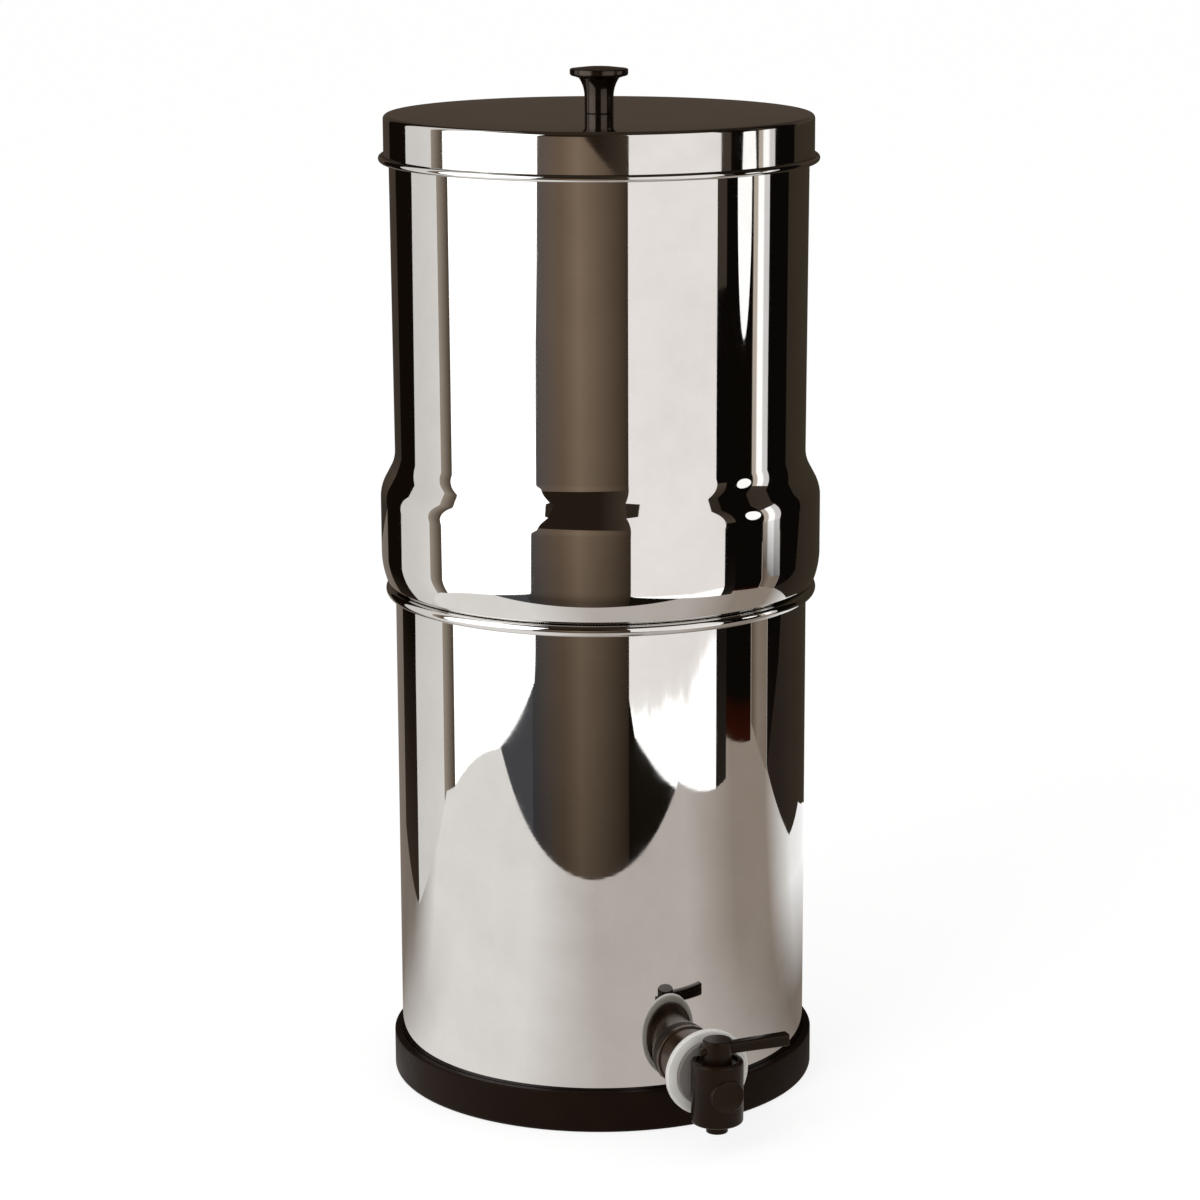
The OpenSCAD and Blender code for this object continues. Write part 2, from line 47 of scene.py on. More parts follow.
# Lower chamber
CHAMBER_R = 95.0
LOWER_H = 231.6
FOOT_CORNER_R = 5.0         # pressed corner at the foot of either chamber
LOWER_ROLL_R = 2.2          # rolled rim, to the middle of the sheet
LOWER_ROLL_TURN = 260       # degrees, like the turns of the other rolls and of the knob's flare
LOWER_RINGS = (60, 120, 180, 230)   # heights at which the wall's mesh is divided

# Upper chamber
BULGE_OUT = 6.2             # bulge past the lower chamber's wall
BULGE_BAND_H = 25.0
SHOULDER_H = 21.5
SHOULDER_SLOPE = 0.8        # slope of the shoulder's straight middle, as a share of what two arcs alone reach
NECK_INSET = 0.6
MOUTH_OUTSET = 0.2
UPPER_WALL_H = 152.2
BOWL_R = 37.0               # lower side of the bulge
BOWL_CORNER_R = 4.0         # corner that rests on the lower chamber's rim
BOWL_CORNER_IN = 1.6
NEST_H = 13.0               # depth of the stepped floor
NEST_GAP = 0.8
NEST_FILLET_R = 1.4
UPPER_ROLL_R = 0.5
UPPER_ROLL_TURN = 220
UPPER_ROLL_STEP = 6         # degrees from point to point of so small a roll
UPPER_RINGS = (347, 397)

# Lid
LID_GAP = 0.45              # between the skirt and the upper chamber's rolled edge
LID_H = 19.6
LID_CORNER_R = 2.0
LID_ROLL_R = 1.2
LID_ROLL_TURN = 240
LID_RING_R = 60.0           # radius at which the lid's mesh is divided

# Knob
KNOB_R = 13.2
KNOB_H = 20.9
KNOB_STEM_R = 6.6
KNOB_FOOT_W = 0.3           # bevel round the stem's foot
KNOB_FOOT_H = 0.38
KNOB_DISC_T = 3.2
KNOB_EDGE_R = 1.2
KNOB_RIM_R = 0.6
KNOB_DOME_H = 1.0
KNOB_FLARE_R = 14.7
KNOB_FLARE_H = 9.2
KNOB_FLARE_TURN = 34.35
SCREW_HOLE_R = 2.55
SCREW_REACH = 12.0

# Base ring
BASE_H = 19.0
BASE_WALL = 3.7
BASE_LEDGE_T = 3.3
BASE_LEDGE_W = 10.0
BASE_FOOT_R = 2.2
BASE_TOP_R = 1.0
BASE_LIP_R = 0.4

# Tap
TAP_CLEAR = 0.8             # between the base ring and the spacer's flange
EDGE_R = 0.3                # softened edge of the turned plastics
SHANK_R = 7.8
SHANK_GAP = 0.3
SHANK_IN = 78.6             # inner end of the shank, from the filter's axis
SHANK_EDGE = 0.5
WATERWAY_R = 4.5
GASKET_T = 1.8
SPACER_L = 22.6
SPACER_R = 13.4
SPACER_FLANGE_R = 14.2
SPACER_END_FLANGE_R = 16.5
SPACER_FLANGE_T = 2.5
WASHER_R = 19.75
WASHER_T = 3.0
WASHER_EDGE_R = 0.7
BODY_R = 11.7
BODY_SINK = 1.9             # how far the round body is sunk into its flat back
BODY_TOP = 9.5              # top of the body above the shank's middle
BODY_H = 29.0
BODY_FOOT_R = 1.4
BODY_EDGE_R = 1.3
BODY_FLOOR_T = 5.6
BODY_FLANGE_R = 15.2
BODY_FLANGE_T = 2.2
FLANGE_EDGE_R = 0.5
BORE_R = 8.0
RECESS_R = 9.25             # recess of the plug's retainer
RECESS_DEPTH = 3.0
SPOUT_R = 4.9
SPOUT_H = 4.7
SPOUT_BORE_R = 3.2
BOSS_R = 7.7
BOSS_DROP = 4.4
BOSS_OUT = 0.7
BOSS_EDGE_R = 1.0
BOSS_RIM_W = 1.4
BOSS_RIM_FALL = 0.1
BOSS_STEP_W = 0.5
BOSS_STEP = 0.28
BOSS_DISH = 0.3
BOSS_ROOT = 131.0           # inner end of the boss, inside the body

# Lever
CAP_R = 6.5
CAP_Z = 42.4                # underside of the cap
CAP_H = 10.6
CAP_EDGE_R = 0.9
LEVER_ROOT = 1.0            # the arm starts inside the cap
LEVER_TIP = 34.5
LEVER_W = 5.0
LEVER_ROOT_H = 4.8
LEVER_TIP_H = 5.8
LEVER_MID_Z = 48.4
LEVER_EDGE_R = 0.8
EAR_X = -4.8                # middle of the ear
EAR_L = 7.6
EAR_W = 3.6
EAR_H = 3.2
EAR_MID_Z = 47.6

# Places that follow from them: heights of the chambers and the lid, and the tap's pieces outwards from the axis.
# The turns here are in radians.
HALF = SHEET / 2
FOOT_Z = BASE_LEDGE_T + SEAT_GAP
LOWER_ROLL_X = CHAMBER_R - HALF + LOWER_ROLL_R
LOWER_ROLL_Z = FOOT_Z + LOWER_H - LOWER_ROLL_R - HALF
BULGE_R = CHAMBER_R + BULGE_OUT
NECK_R = CHAMBER_R - NECK_INSET
BOWL_CORNER_X = LOWER_ROLL_X - BOWL_CORNER_IN
SEAT_REACH = BOWL_CORNER_R + LOWER_ROLL_R + HALF + SEAT_GAP
BOWL_CORNER_Z = LOWER_ROLL_Z + math.sqrt(SEAT_REACH ** 2 - BOWL_CORNER_IN ** 2)
UNDERSIDE_Z = BOWL_CORNER_Z - BOWL_CORNER_R
BOWL_TURN = math.acos((BOWL_CORNER_X - BULGE_R + BOWL_R) / (BOWL_R - BOWL_CORNER_R))
BULGE_Z0 = BOWL_CORNER_Z + (BOWL_R - BOWL_CORNER_R) * math.sin(BOWL_TURN)
BULGE_Z1 = BULGE_Z0 + BULGE_BAND_H
NECK_Z = BULGE_Z1 + SHOULDER_H
NECK_IN = BULGE_R - NECK_R
SHOULDER_TURN = SHOULDER_SLOPE * 2 * math.atan(NECK_IN / SHOULDER_H)
SHOULDER_FLAT = NECK_IN / math.tan(SHOULDER_TURN / 2) - SHOULDER_H
SHOULDER_R = (SHOULDER_H - SHOULDER_FLAT * math.cos(SHOULDER_TURN)) / (2 * math.sin(SHOULDER_TURN))
NEST_R = CHAMBER_R - SHEET - NEST_GAP
FLOOR_Z = UNDERSIDE_Z - NEST_H
MOUTH_MID_R = CHAMBER_R + MOUTH_OUTSET - HALF
UPPER_ROLL_X = MOUTH_MID_R + UPPER_ROLL_R
UPPER_ROLL_Z = NECK_Z + UPPER_WALL_H - UPPER_ROLL_R - HALF
LID_R = UPPER_ROLL_X + UPPER_ROLL_R + HALF + LID_GAP + SHEET
LID_TOP_Z = UPPER_ROLL_Z + UPPER_ROLL_R + HALF + SEAT_GAP + SHEET
LID_ROLL_Z = LID_TOP_Z - LID_H
BASE_R = CHAMBER_R + SEAT_GAP + BASE_WALL
TAP_Z = BASE_H + TAP_CLEAR + SPACER_FLANGE_R
HOLE_R = SHANK_R + SHANK_GAP
GASKET_OUT = CHAMBER_R + GASKET_T
SPACER_OUT = GASKET_OUT + SPACER_L
WASHER_OUT = SPACER_OUT + WASHER_T
FLANGE_OUT = WASHER_OUT + BODY_FLANGE_T
BODY_AT = WASHER_OUT + BODY_R - BODY_SINK
BODY_Z1 = TAP_Z + BODY_TOP
BODY_Z0 = BODY_Z1 - BODY_H


def linear(code):
    """An sRGB hex colour as linear RGBA."""
    parts = [int(code[i:i + 2], 16) / 255 for i in (1, 3, 5)]
    return [c / 12.92 if c <= 0.04045 else ((c + 0.055) / 1.055) ** 2.4 for c in parts] + [1.0]


def add(tree, kind, inputs=None, stops=None, **settings):
    """Adds a node. An input is a plain value or another node's socket, and stops are a ramp's colours."""
    made = tree.nodes.new(kind)
    for key, value in settings.items():
        setattr(made, key, value)
    for key, value in (inputs or {}).items():
        if isinstance(value, bpy.types.NodeSocket):
            tree.links.new(value, made.inputs[key])
        else:
            made.inputs[key].default_value = value
    if stops:
        while len(made.color_ramp.elements) < len(stops):
            made.color_ramp.elements.new(1.0)
        for element, (position, colour) in zip(made.color_ramp.elements, stops):
            element.position = position
            element.color = linear(colour)
    return made


def new_finish(name):
    """A material with an empty tree, its output node and the object coordinates."""
    material = bpy.data.materials.new(name)
    material.use_nodes = True
    tree = material.node_tree
    tree.nodes.clear()
    place = add(tree, "ShaderNodeTexCoord").outputs["Object"]
    return material, tree, place


def close_finish(tree, shader):
    add(tree, "ShaderNodeOutputMaterial", {"Surface": shader.outputs[0]})


# ---------------------------------------------------------------- finishes

def polished_steel(name, polish, waves):
    """Stainless sheet, spun to shape and buffed to a mirror: sharp reflections that wander a little with the
    sheet's waves, fine rings left by the buffing wheel, and a haze where it has been wiped."""
    material, tree, place = new_finish(name)
    # Waves of the spun sheet, about 70 mm from crest to crest
    wave = add(tree, "ShaderNodeTexNoise", {"Vector": place, "Scale": 14.0, "Detail": 1.0, "Roughness": 0.4})
    # Rings of the buffing wheel, about 0.8 mm apart, drawn four times as coarse as real ones
    rings_at = add(tree, "ShaderNodeMapping", {"Vector": place, "Scale": (6.0, 6.0, 1250.0)})
    rings = add(tree, "ShaderNodeTexNoise", {"Vector": rings_at.outputs[0], "Scale": 1.0, "Detail": 2.0})
    haze = add(tree, "ShaderNodeTexNoise", {"Vector": place, "Scale": 38.0, "Detail": 6.0, "Roughness": 0.65})
    haze_share = add(tree, "ShaderNodeMapRange", {
        "Value": haze.outputs["Fac"], "From Min": 0.42, "From Max": 0.75, "To Min": polish, "To Max": polish + 0.04})
    wave_bump = add(tree, "ShaderNodeBump", {
        "Height": wave.outputs["Fac"], "Strength": 1.0, "Distance": waves * MM})
    ring_bump = add(tree, "ShaderNodeBump", {
        "Height": rings.outputs["Fac"], "Strength": 0.007, "Distance": 0.1 * MM, "Normal": wave_bump.outputs[0]})
    tint = add(tree, "ShaderNodeValToRGB", {"Fac": haze.outputs["Fac"]},
               stops=[(0.3, "#dad9d7"), (0.75, "#d1cfcc")])
    close_finish(tree, add(tree, "ShaderNodeBsdfPrincipled", {
        "Base Color": tint.outputs[0], "Metallic": 1.0, "Roughness": haze_share.outputs[0],
        "Normal": ring_bump.outputs[0]}))
    return material


def drawn_steel():
    """The chambers' inner face, left as drawn and spun: satin, with rings round the axis."""
    material, tree, place = new_finish("stainless_steel_as_spun")
    # Tool marks of the spinning, about 1.5 mm apart
    rings_at = add(tree, "ShaderNodeMapping", {"Vector": place, "Scale": (12.0, 12.0, 660.0)})
    rings = add(tree, "ShaderNodeTexNoise", {"Vector": rings_at.outputs[0], "Scale": 1.0, "Detail": 3.0})
    spots = add(tree, "ShaderNodeTexNoise", {"Vector": place, "Scale": 25.0, "Detail": 4.0})
    rough = add(tree, "ShaderNodeMapRange", {"Value": spots.outputs["Fac"], "To Min": 0.22, "To Max": 0.36})
    bump = add(tree, "ShaderNodeBump", {"Height": rings.outputs["Fac"], "Strength": 0.15, "Distance": 0.1 * MM})
    tint = add(tree, "ShaderNodeValToRGB", {"Fac": spots.outputs["Fac"]},
               stops=[(0.3, "#c8c6c2"), (0.7, "#bdbab5")])
    close_finish(tree, add(tree, "ShaderNodeBsdfPrincipled", {
        "Base Color": tint.outputs[0], "Metallic": 1.0, "Roughness": rough.outputs[0], "Normal": bump.outputs[0]}))
    return material


def plain_steel():
    """Screw and washer: bright plated steel with a faint turning mark."""
    material, tree, place = new_finish("zinc_plated_steel")
    spots = add(tree, "ShaderNodeTexNoise", {"Vector": place, "Scale": 300.0, "Detail": 4.0})
    rough = add(tree, "ShaderNodeMapRange", {"Value": spots.outputs["Fac"], "To Min": 0.2, "To Max": 0.38})
    close_finish(tree, add(tree, "ShaderNodeBsdfPrincipled", {
        "Base Color": linear("#c9c9c6"), "Metallic": 1.0, "Roughness": rough.outputs[0]}))
    return material


def moulded(name, deep, worn, rough, grain_mm, relief_mm, specular=0.5, coat=0.0):
    """A moulded polymer: one colour right through, a grain from the mould, and slightly paler, duller
    patches where it is handled."""
    material, tree, place = new_finish(name)
    grain = add(tree, "ShaderNodeTexNoise", {
        "Vector": place, "Scale": 1000.0 / grain_mm / 2, "Detail": 3.0, "Roughness": 0.6})
    patches = add(tree, "ShaderNodeTexNoise", {"Vector": place, "Scale": 45.0, "Detail": 5.0, "Roughness": 0.6})
    colour = add(tree, "ShaderNodeValToRGB", {"Fac": patches.outputs["Fac"]},
                 stops=[(0.35, deep), (0.75, worn)])
    roughness = add(tree, "ShaderNodeMapRange", {
        "Value": patches.outputs["Fac"], "From Min": 0.3, "From Max": 0.7,
        "To Min": rough - 0.05, "To Max": rough + 0.07})
    bump = add(tree, "ShaderNodeBump", {
        "Height": grain.outputs["Fac"], "Strength": 0.5, "Distance": relief_mm * MM})
    # The warm specular tint is painted: it warms every reflection as the room's warm light would.
    close_finish(tree, add(tree, "ShaderNodeBsdfPrincipled", {
        "Base Color": colour.outputs[0], "Roughness": roughness.outputs[0], "Normal": bump.outputs[0],
        "Specular IOR Level": specular, "Specular Tint": linear("#ffe6d2"), "Coat Weight": coat,
        "Coat Roughness": 0.08}))
    return material


def silicone():
    """Moulded silicone: milky, lets light in, and has a dry, soft sheen."""
    material, tree, place = new_finish("moulded_silicone_milky")
    cloud = add(tree, "ShaderNodeTexNoise", {"Vector": place, "Scale": 120.0, "Detail": 3.0})
    colour = add(tree, "ShaderNodeValToRGB", {"Fac": cloud.outputs["Fac"]},
                 stops=[(0.3, "#d2d1cb"), (0.7, "#dddcd6")])
    fine = add(tree, "ShaderNodeTexNoise", {"Vector": place, "Scale": 900.0, "Detail": 2.0})
    bump = add(tree, "ShaderNodeBump", {"Height": fine.outputs["Fac"], "Strength": 0.3, "Distance": 0.03 * MM})
    close_finish(tree, add(tree, "ShaderNodeBsdfPrincipled", {
        "Base Color": colour.outputs[0], "Roughness": 0.42, "Normal": bump.outputs[0],
        "Subsurface Weight": 0.6, "Subsurface Radius": (1.0, 1.0, 0.95), "Subsurface Scale": 0.004}))
    return material


def pressed_carbon():
    """Carbon block: charcoal grains of about half a millimetre pressed and sintered, dark grey and dull."""
    material, tree, place = new_finish("pressed_carbon_block")
    grains = add(tree, "ShaderNodeTexVoronoi", {"Vector": place, "Scale": 1400.0})
    pores = add(tree, "ShaderNodeTexNoise", {"Vector": place, "Scale": 500.0, "Detail": 5.0, "Roughness": 0.7})
    colour = add(tree, "ShaderNodeValToRGB", {"Fac": pores.outputs["Fac"]},
                 stops=[(0.3, "#1c1d1e"), (0.55, "#2b2d2f"), (0.8, "#3d3f41")])
    bump = add(tree, "ShaderNodeBump", {"Height": grains.outputs["Distance"], "Strength": 0.6, "Distance": 0.3 * MM})
    close_finish(tree, add(tree, "ShaderNodeBsdfPrincipled", {
        "Base Color": colour.outputs[0], "Roughness": 0.82, "Normal": bump.outputs[0], "Specular IOR Level": 0.3}))
    return material


mirror_steel = polished_steel("stainless_steel_spun_and_buffed", 0.014, 0.04)
lid_steel = polished_steel("stainless_steel_buffed_lid", 0.03, 0.03)
inner_steel = drawn_steel()
screw_steel = plain_steel()
ring_rubber = moulded("moulded_rubber_matt", "#150c08", "#1d120c", 0.5, 0.7, 0.05, specular=0.07)
seal_rubber = moulded("nitrile_rubber_moulded", "#141312", "#1e1c1a", 0.5, 0.5, 0.03, specular=0.4)
tap_nylon = moulded("glass_filled_nylon_moulded", "#140c06", "#1b1109", 0.27, 0.5, 0.02, specular=0.17)
spacer_nylon = moulded("nylon_turned_and_burnished", "#221810", "#2c2016", 0.24, 0.5, 0.012, specular=1.0)
# The flange's face is black nylon coloured grey: painted sheen, standing in for the light it reflects.
flange_painted_sheen_nylon = moulded("glass_filled_nylon_painted_sheen_grey", "#75706c", "#7d7874", 0.42, 0.5, 0.02, specular=0.3)
knob_phenolic = moulded("phenolic_moulded_gloss", "#0e0805", "#150d08", 0.17, 0.9, 0.006, specular=0.6, coat=0.1)
filter_polypropylene = moulded("polypropylene_moulded_satin", "#1b1c1e", "#26282a", 0.42, 0.6, 0.03)
carbon = pressed_carbon()
washer_silicone = silicone()


# ---------------------------------------------------------------- shapes

def draw_line(bm, start, moves, fine=6.0):
    """A chain of edges in the plane through the axis, in millimetres. A move of two numbers is a straight line
    to that radius and height. A move of three is an arc about that radius and height, by so many degrees, and a
    fourth number is the arc's own fineness."""
    tip = bm.verts.new((start[0] * MM, 0.0, start[1] * MM))
    for move in moves:
        if len(move) == 2:
            tip = bmesh.ops.extrude_vert_indiv(bm, verts=[tip])["verts"][0]
            tip.co = (move[0] * MM, 0.0, move[1] * MM)
        else:
            r, z, turn, step = (*move, fine)[:4]
            swept = bmesh.ops.spin(
                bm, geom=[tip], cent=(r * MM, 0.0, z * MM), axis=(0.0, -1.0, 0.0),
                angle=math.radians(turn), steps=max(2, round(abs(turn) / step)), use_duplicate=False)
            tip = [v for v in swept["geom_last"] if isinstance(v, bmesh.types.BMVert)][0]


def turned(start, moves, steps=96, fine=6.0):
    """A line of the profile, spun a full turn about the axis."""
    bm = bmesh.new()
    draw_line(bm, start, moves, fine)
    bmesh.ops.remove_doubles(bm, verts=bm.verts[:], dist=1e-7)
    bmesh.ops.spin(bm, geom=bm.verts[:] + bm.edges[:], cent=(0, 0, 0), axis=(0, 0, 1),
                   angle=2 * math.pi, steps=steps, use_merge=True, use_duplicate=False)
    bmesh.ops.remove_doubles(bm, verts=bm.verts[:], dist=1e-7)
    bmesh.ops.recalc_face_normals(bm, faces=bm.faces[:])
    return bm


def finished(name, bm, body, finishes, replaced=(), sharp=35.0):
    """Makes the shape a piece: smooth but for edges sharper than so many degrees."""
    for face in bm.faces:
        face.smooth = True
    for edge in bm.edges:
        edge.smooth = len(edge.link_faces) == 2 and edge.calc_face_angle(0.0) < math.radians(sharp)
    mesh = bpy.data.meshes.new(name)
    bm.to_mesh(mesh)
    bm.free()
    for finish in finishes:
        mesh.materials.append(finish)
    piece = bpy.data.objects.new(name, mesh)
    bpy.context.scene.collection.objects.link(piece)
    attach(piece, body)
    if replaced:
        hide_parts(*replaced)
    return piece


def spun_sheet(start, moves, rolled, fine=6.0):
    """A chamber or lid as one bent surface, facing out, with the faces of its rolled edge, which pass the test,
    given the third finish."""
    bm = turned(start, moves, 256, fine)
    outward = sum(f.normal.dot(Vector((*f.calc_center_median().xy, 0.0))) * f.calc_area() for f in bm.faces)
    if outward < 0:
        bmesh.ops.reverse_faces(bm, faces=bm.faces[:])
    for face in bm.faces:
        middle = face.calc_center_median()
        if rolled(middle.xy.length / MM, middle.z / MM):
            face.material_index = 2
    return bm


def sheet_wall(piece):
    """Gives a spun line the sheet's thickness, half to each side. Its first finish is the outer face's, the
    second the inner face's, and a rolled edge has the third on both."""
    wall = piece.modifiers.new("sheet_thickness", "SOLIDIFY")
    wall.thickness = SHEET * MM
    wall.offset = 0.0
    wall.use_even_offset = True
    wall.use_quality_normals = True
    wall.material_offset = 1
    return wall


def placed(bm, matrix):
    bmesh.ops.transform(bm, matrix=matrix, verts=bm.verts[:])
    return bm


def merged(parts):
    """Several closed shapes as one mesh."""
    whole = bmesh.new()
    for part in parts:
        carrier = bpy.data.meshes.new("carrier")
        part.to_mesh(carrier)
        part.free()
        whole.from_mesh(carrier)
        bpy.data.meshes.remove(carrier)
    return whole


def cut(shape, cutter):
    """A closed shape less another one."""
    pair = []
    for part in (shape, cutter):
        mesh = bpy.data.meshes.new("carrier")
        part.to_mesh(mesh)
        part.free()
        pair.append(bpy.data.objects.new("carrier", mesh))
        bpy.context.scene.collection.objects.link(pair[-1])
    less = pair[0].modifiers.new("cut", "BOOLEAN")
    less.operation = "DIFFERENCE"
    less.solver = "EXACT"
    less.object = pair[1]
    left = bmesh.new()
    left.from_mesh(pair[0].evaluated_get(bpy.context.evaluated_depsgraph_get()).to_mesh())
    for piece in pair:
        mesh = piece.data
        bpy.data.objects.remove(piece)
        bpy.data.meshes.remove(mesh)
    return left


def flared(z):
    """A point on the upper wall, which widens a little from the neck to the mouth."""
    share = (z - NECK_Z) / (UPPER_ROLL_Z - NECK_Z)
    return NECK_R - HALF + share * (MOUTH_MID_R - NECK_R + HALF), z


ON_SHANK = Matrix.Translation((0, 0, TAP_Z * MM)) @ Matrix.Rotation(math.radians(90), 4, "X")
ON_BODY = Matrix.Translation((0, -BODY_AT * MM, 0))

# Lower chamber: flat floor, pressed corner, plain wall and a rim rolled outwards
lower_wall = CHAMBER_R - HALF
lower_corner = CHAMBER_R - FOOT_CORNER_R
lower = finished("tank_lower", spun_sheet((0, FOOT_Z + HALF), [
    (lower_corner, FOOT_Z + HALF), (lower_corner, FOOT_Z + FOOT_CORNER_R, 90),
    *[(lower_wall, z) for z in (*LOWER_RINGS, LOWER_ROLL_Z)],
    (LOWER_ROLL_X, LOWER_ROLL_Z, -LOWER_ROLL_TURN)], lambda r, z: z > LOWER_RINGS[-1]),
    "lower_tank", [mirror_steel, inner_steel, mirror_steel], ["lower_chamber"])
sheet_wall(lower)

# Upper chamber: stepped floor, bowl, bulge, S-shaped shoulder, flared wall and a fine rolled edge
bowl_turn, shoulder_turn = math.degrees(BOWL_TURN), math.degrees(SHOULDER_TURN)
nest_corner = NEST_R - FOOT_CORNER_R
neck_centre = NECK_R + SHOULDER_R
flat_end = (neck_centre - (SHOULDER_R + HALF) * math.cos(SHOULDER_TURN),
            NECK_Z - (SHOULDER_R + HALF) * math.sin(SHOULDER_TURN))

upper = finished("tank_upper", spun_sheet((0, FLOOR_Z + HALF), [
    (nest_corner, FLOOR_Z + HALF), (nest_corner, FLOOR_Z + FOOT_CORNER_R, 90),
    (NEST_R - HALF, UNDERSIDE_Z - NEST_FILLET_R), (NEST_R + NEST_FILLET_R, UNDERSIDE_Z - NEST_FILLET_R, -90),
    (BOWL_CORNER_X, UNDERSIDE_Z + HALF), (BOWL_CORNER_X, BOWL_CORNER_Z, 90 - bowl_turn),
    (BULGE_R - BOWL_R, BULGE_Z0, bowl_turn), (BULGE_R - HALF, BULGE_Z1),
    (BULGE_R - SHOULDER_R, BULGE_Z1, shoulder_turn), flat_end, (neck_centre, NECK_Z, -shoulder_turn),
    *map(flared, (*UPPER_RINGS, UPPER_ROLL_Z)),
    (UPPER_ROLL_X, UPPER_ROLL_Z, -UPPER_ROLL_TURN, UPPER_ROLL_STEP)],
    lambda r, z: z > UPPER_ROLL_Z, fine=2.5),
    "upper_tank", [mirror_steel, inner_steel, mirror_steel], ["upper_chamber"])
sheet_wall(upper)

# Lid: flat top, small rounded corner, upright skirt and a rolled edge
skirt = LID_R - HALF
lid_corner = LID_R - LID_CORNER_R
lid = finished("lid_spun", spun_sheet((0, LID_TOP_Z - HALF), [
    (LID_RING_R, LID_TOP_Z - HALF), (lid_corner, LID_TOP_Z - HALF), (lid_corner, LID_TOP_Z - LID_CORNER_R, -90),
    (skirt, LID_ROLL_Z), (skirt + LID_ROLL_R, LID_ROLL_Z, LID_ROLL_TURN)],
    lambda r, z: z < LID_ROLL_Z or z < LID_ROLL_Z + LID_ROLL_R and r > skirt),
    "lid", [lid_steel, inner_steel, lid_steel], ["lid"])
sheet_wall(lid)

# Base ring: rounded foot, upright side and a thin lip against the chamber
ledge_in = CHAMBER_R - BASE_LEDGE_W
bore = CHAMBER_R + SEAT_GAP
base_foot, base_top = BASE_R - BASE_FOOT_R, BASE_R - BASE_TOP_R
finished("ring_base", turned((ledge_in, BASE_LIP_R), [
    (ledge_in + BASE_LIP_R, 0), (base_foot, 0), (base_foot, BASE_FOOT_R, 90), (BASE_R, BASE_H - BASE_TOP_R),
    (base_top, BASE_H - BASE_TOP_R, 90), (bore + BASE_LIP_R, BASE_H),
    (bore + BASE_LIP_R, BASE_H - BASE_LIP_R, 90), (bore, FOOT_Z + FOOT_CORNER_R),
    (CHAMBER_R - FOOT_CORNER_R, FOOT_Z + FOOT_CORNER_R, -90), (ledge_in + BASE_LIP_R, BASE_LEDGE_T),
    (ledge_in, BASE_LEDGE_T - BASE_LIP_R), (ledge_in, BASE_LIP_R)], 256),
    "lower_tank", [ring_rubber], ["base_ring"])

# Knob: stem that flares into a disc with a low dome
knob_under = LID_TOP_Z + KNOB_H - KNOB_DOME_H - KNOB_DISC_T
disc_top = knob_under + KNOB_DISC_T
dome_foot = KNOB_R - KNOB_RIM_R
dome_r = (dome_foot ** 2 + KNOB_DOME_H ** 2) / (2 * KNOB_DOME_H)
flare_z = knob_under - KNOB_FLARE_H
finished("knob_turned", turned((0, LID_TOP_Z + SCREW_REACH), [
    (SCREW_HOLE_R, LID_TOP_Z + SCREW_REACH), (SCREW_HOLE_R, LID_TOP_Z), (KNOB_STEM_R - KNOB_FOOT_W, LID_TOP_Z),
    (KNOB_STEM_R, LID_TOP_Z + KNOB_FOOT_H), (KNOB_STEM_R, flare_z),
    (KNOB_STEM_R + KNOB_FLARE_R, flare_z, -KNOB_FLARE_TURN),
    (KNOB_R - KNOB_EDGE_R, knob_under), (KNOB_R - KNOB_EDGE_R, knob_under + KNOB_EDGE_R, 90),
    (KNOB_R, disc_top - KNOB_RIM_R), (dome_foot, disc_top - KNOB_RIM_R, 90),
    (0, disc_top + KNOB_DOME_H - dome_r, math.degrees(math.asin(dome_foot / dome_r)))], fine=5),
    "lid", [knob_phenolic], ["lid_knob"])

# Spacer on the shank: a flange at the wall, a barrel, and a wider flange behind the washer
near_flange, far_flange = SPACER_FLANGE_R - EDGE_R, SPACER_END_FLANGE_R - EDGE_R
near_end, far_start = GASKET_OUT + SPACER_FLANGE_T, SPACER_OUT - SPACER_FLANGE_T
finished("spacer_barrel", placed(turned((HOLE_R, GASKET_OUT), [
    (near_flange, GASKET_OUT), (near_flange, GASKET_OUT + EDGE_R, 90), (SPACER_FLANGE_R, near_end - EDGE_R),
    (near_flange, near_end - EDGE_R, 90), (SPACER_R, near_end), (SPACER_R, far_start), (far_flange, far_start),
    (far_flange, far_start + EDGE_R, 90), (SPACER_END_FLANGE_R, SPACER_OUT - EDGE_R), (far_flange, SPACER_OUT),
    (HOLE_R, SPACER_OUT), (HOLE_R, GASKET_OUT)]), ON_SHANK),
    "lower_tank", [spacer_nylon], ["tap_spacer"])

# White washer with rounded edges
washer_in, washer_rim = HOLE_R + WASHER_EDGE_R, WASHER_R - WASHER_EDGE_R
washer_z0, washer_z1 = SPACER_OUT + WASHER_EDGE_R, WASHER_OUT - WASHER_EDGE_R
finished("washer_outer_soft", placed(turned((HOLE_R, washer_z0), [
    (washer_in, washer_z0, 90), (washer_rim, SPACER_OUT), (washer_rim, washer_z0, 90), (WASHER_R, washer_z1),
    (washer_rim, washer_z1, 90), (washer_in, WASHER_OUT), (washer_in, washer_z1, 90), (HOLE_R, washer_z0)], 128),
    ON_SHANK),
    "lower_tank", [washer_silicone], ["outer_washer"])

